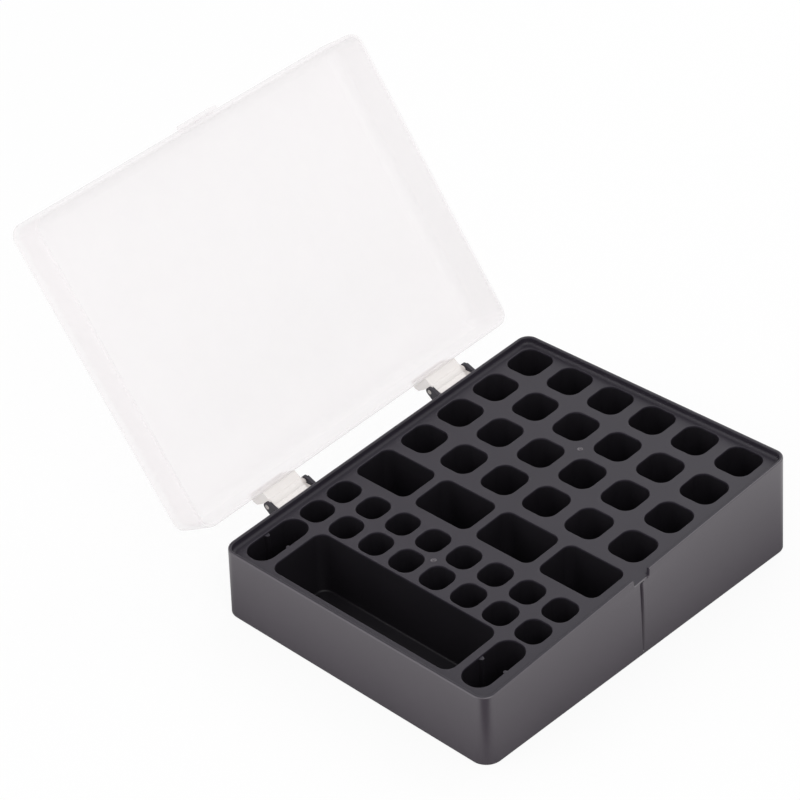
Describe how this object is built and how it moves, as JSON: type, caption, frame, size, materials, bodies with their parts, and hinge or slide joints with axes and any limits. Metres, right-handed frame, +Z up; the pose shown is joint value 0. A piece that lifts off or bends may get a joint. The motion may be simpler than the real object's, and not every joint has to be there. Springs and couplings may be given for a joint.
{
  "type": "battery storage case",
  "caption": "Wedge-shaped black battery storage case with a sloping deck of moulded wells and an open milky hinged lid.",
  "frame": {"origin": "on the table under the middle of the box round the case with its lid open", "axes": "+X from the hinge side to the latch side, +Y from the low front to the high back, +Z up"},
  "size_m": [0.2298, 0.1768, 0.1553],
  "materials": {
    "case_plastic": "satin",
    "lid_plastic": "satin"
  },
  "bodies": {
    "case": {"case_walls": "case_plastic", "tray_well": "case_plastic", "slot_well_left": "case_plastic", "slot_well_right": "case_plastic", "aaa_wells_row_1": "case_plastic", "aaa_wells_row_2": "case_plastic", "block_wells": "case_plastic", "aa_wells_row_1": "case_plastic", "aa_wells_row_2": "case_plastic", "aa_wells_row_3": "case_plastic", "aa_wells_row_4": "case_plastic", "hinge_ears_front": "case_plastic", "hinge_ears_back": "case_plastic", "latch_catch": "case_plastic"},
    "lid": {"hinge_lug_front": "lid_plastic", "hinge_pins_front": "lid_plastic", "hinge_lug_back": "lid_plastic", "hinge_pins_back": "lid_plastic", "lid_shell": "lid_plastic", "latch_tab": "lid_plastic"}
  },
  "joints": [
    {"name": "lid_hinge", "type": "hinge", "parent": "case", "child": "lid", "pos_m": [-0.0233, 0.00359, 0.03465], "axis": [0, 0.9971, 0.0767], "range_deg": [0, 122.3]}
  ]
}
